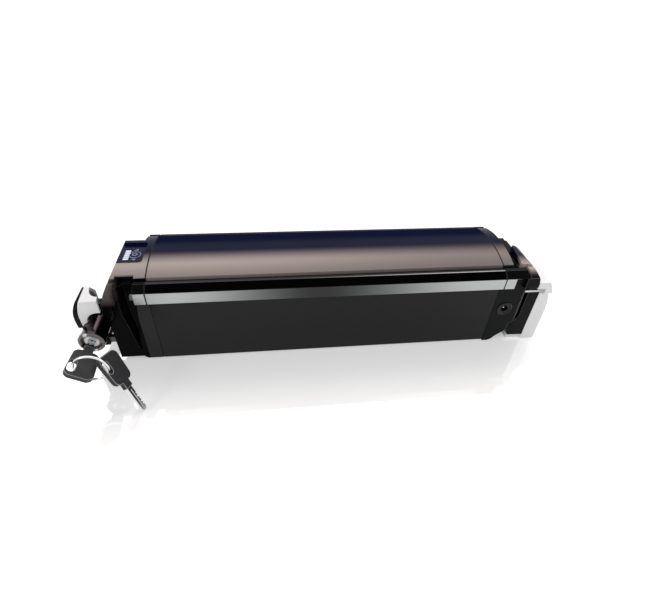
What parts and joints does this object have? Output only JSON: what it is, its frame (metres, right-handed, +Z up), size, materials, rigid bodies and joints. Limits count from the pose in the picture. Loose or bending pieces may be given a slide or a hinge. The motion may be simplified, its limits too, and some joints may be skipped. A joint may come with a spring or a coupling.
{
  "type": "e-bike downtube battery",
  "caption": "Long e-bike downtube battery with crowned cover, moulded end caps, key lock mount, plug-in mount, and keys on a ring.",
  "frame": {"origin": "centre of the case's bottom face, midway between the two case ends", "axes": "+X along the battery to its plug end, +Y to the side away from the lock, +Z up through the crowned cover"},
  "size_m": [0.4147, 0.141, 0.0906],
  "materials": {
    "case_body": "satin",
    "top_cover": "satin",
    "upper_end_cap": "satin",
    "lower_end_cap": "satin",
    "upper_gasket": "matte",
    "lower_gasket": "matte",
    "upper_cap_screws": "satin",
    "lower_cap_screws": "satin",
    "display_window": "gloss",
    "display_board": "satin",
    "level_lights": "gloss",
    "power_button": "gloss",
    "charge_port": "gloss",
    "charge_port_nut": "satin",
    "charge_pin": "polished",
    "discharge_socket": "matte",
    "socket_contacts": "satin",
    "battery_cells": "satin",
    "front_cell_holder": "matte",
    "rear_cell_holder": "matte",
    "front_nickel_strips": "satin",
    "rear_nickel_strips": "satin",
    "upper_foam": "matte",
    "lower_foam": "matte",
    "bms_board": "satin",
    "bms_heat_plate": "satin",
    "bms_fuse": "gloss",
    "power_wires": "satin",
    "charge_wires": "satin",
    "display_wires": "satin",
    "lock_base": "satin",
    "lock_bracket": "gloss",
    "lock_barrel": "polished",
    "lock_collar": "polished",
    "barrel_clip": "satin",
    "lock_mount_screws": "satin",
    "lock_core": "satin",
    "lock_cam": "satin",
    "latch_bolt": "satin",
    "key_blade": "polished",
    "key_head": "satin",
    "key_ring": "polished",
    "spare_key_blade": "polished",
    "spare_key_head": "satin",
    "mount_base": "satin",
    "lower_bracket": "gloss",
    "plug_housing": "matte",
    "plug_blades": "satin",
    "mount_seal": "matte",
    "mount_screws": "satin",
    "cable_gland": "matte"
  },
  "bodies": {
    "pack": {"case_body": "case_body", "top_cover": "top_cover", "upper_end_cap": "upper_end_cap", "lower_end_cap": "lower_end_cap", "upper_gasket": "upper_gasket", "lower_gasket": "lower_gasket", "upper_cap_screws": "upper_cap_screws", "lower_cap_screws": "lower_cap_screws", "display_window": "display_window", "display_board": "display_board", "level_lights": "level_lights", "charge_port": "charge_port", "charge_port_nut": "charge_port_nut", "charge_pin": "charge_pin", "discharge_socket": "discharge_socket", "socket_contacts": "socket_contacts", "battery_cells": "battery_cells", "front_cell_holder": "front_cell_holder", "rear_cell_holder": "rear_cell_holder", "front_nickel_strips": "front_nickel_strips", "rear_nickel_strips": "rear_nickel_strips", "upper_foam": "upper_foam", "lower_foam": "lower_foam", "bms_board": "bms_board", "bms_heat_plate": "bms_heat_plate", "bms_fuse": "bms_fuse", "power_wires": "power_wires", "charge_wires": "charge_wires", "display_wires": "display_wires"},
    "power_button": {"power_button": "power_button"},
    "lock_mount": {"lock_base": "lock_base", "lock_bracket": "lock_bracket", "lock_barrel": "lock_barrel", "lock_collar": "lock_collar", "barrel_clip": "barrel_clip", "lock_mount_screws": "lock_mount_screws"},
    "lock_core": {"lock_core": "lock_core", "lock_cam": "lock_cam"},
    "latch": {"latch_bolt": "latch_bolt"},
    "key": {"key_blade": "key_blade", "key_head": "key_head"},
    "key_ring": {"key_ring": "key_ring"},
    "spare_key": {"spare_key_blade": "spare_key_blade", "spare_key_head": "spare_key_head"},
    "connector_mount": {"mount_base": "mount_base", "lower_bracket": "lower_bracket", "plug_housing": "plug_housing", "plug_blades": "plug_blades", "mount_seal": "mount_seal", "mount_screws": "mount_screws", "cable_gland": "cable_gland"}
  },
  "joints": [
    {"name": "power_button_press", "type": "slide", "parent": "pack", "child": "power_button", "axis": [0, 0, -1], "range_m": [0, 0.0006], "stiffness_N_per_m": 400, "springref_m": -0.001},
    {"name": "lock_mount_slide", "type": "slide", "parent": "pack", "child": "lock_mount", "axis": [-1, 0, 0], "range_m": [0, 0.015]},
    {"name": "lock_turn", "type": "hinge", "parent": "lock_mount", "child": "lock_core", "pos_m": [-0.196, -0.04, 0.042], "axis": [0, 1, 0], "range_deg": [0, 90]},
    {"name": "latch_slide", "type": "slide", "parent": "lock_mount", "child": "latch", "axis": [-1, 0, 0], "range_m": [0, 0.00622]},
    {"name": "key_pull", "type": "slide", "parent": "lock_core", "child": "key", "axis": [0, -1, 0], "range_m": [0, 0.025]},
    {"name": "ring_swing", "type": "hinge", "parent": "key", "child": "key_ring", "pos_m": [-0.20103, -0.084, 0.04527], "axis": [0, 1, 0], "range_deg": [-8, 8]},
    {"name": "spare_key_swing", "type": "hinge", "parent": "key_ring", "child": "spare_key", "pos_m": [-0.17754, -0.084, 0.03672], "axis": [0.342, 0, 0.9397], "range_deg": [-8, 8]},
    {"name": "connector_mount_slide", "type": "slide", "parent": "pack", "child": "connector_mount", "axis": [1, 0, 0], "range_m": [0, 0.025]}
  ],
  "couplings": [
    {"joint": "lock_turn", "follows": "latch_slide", "rad_per_m": 252.46}
  ]
}
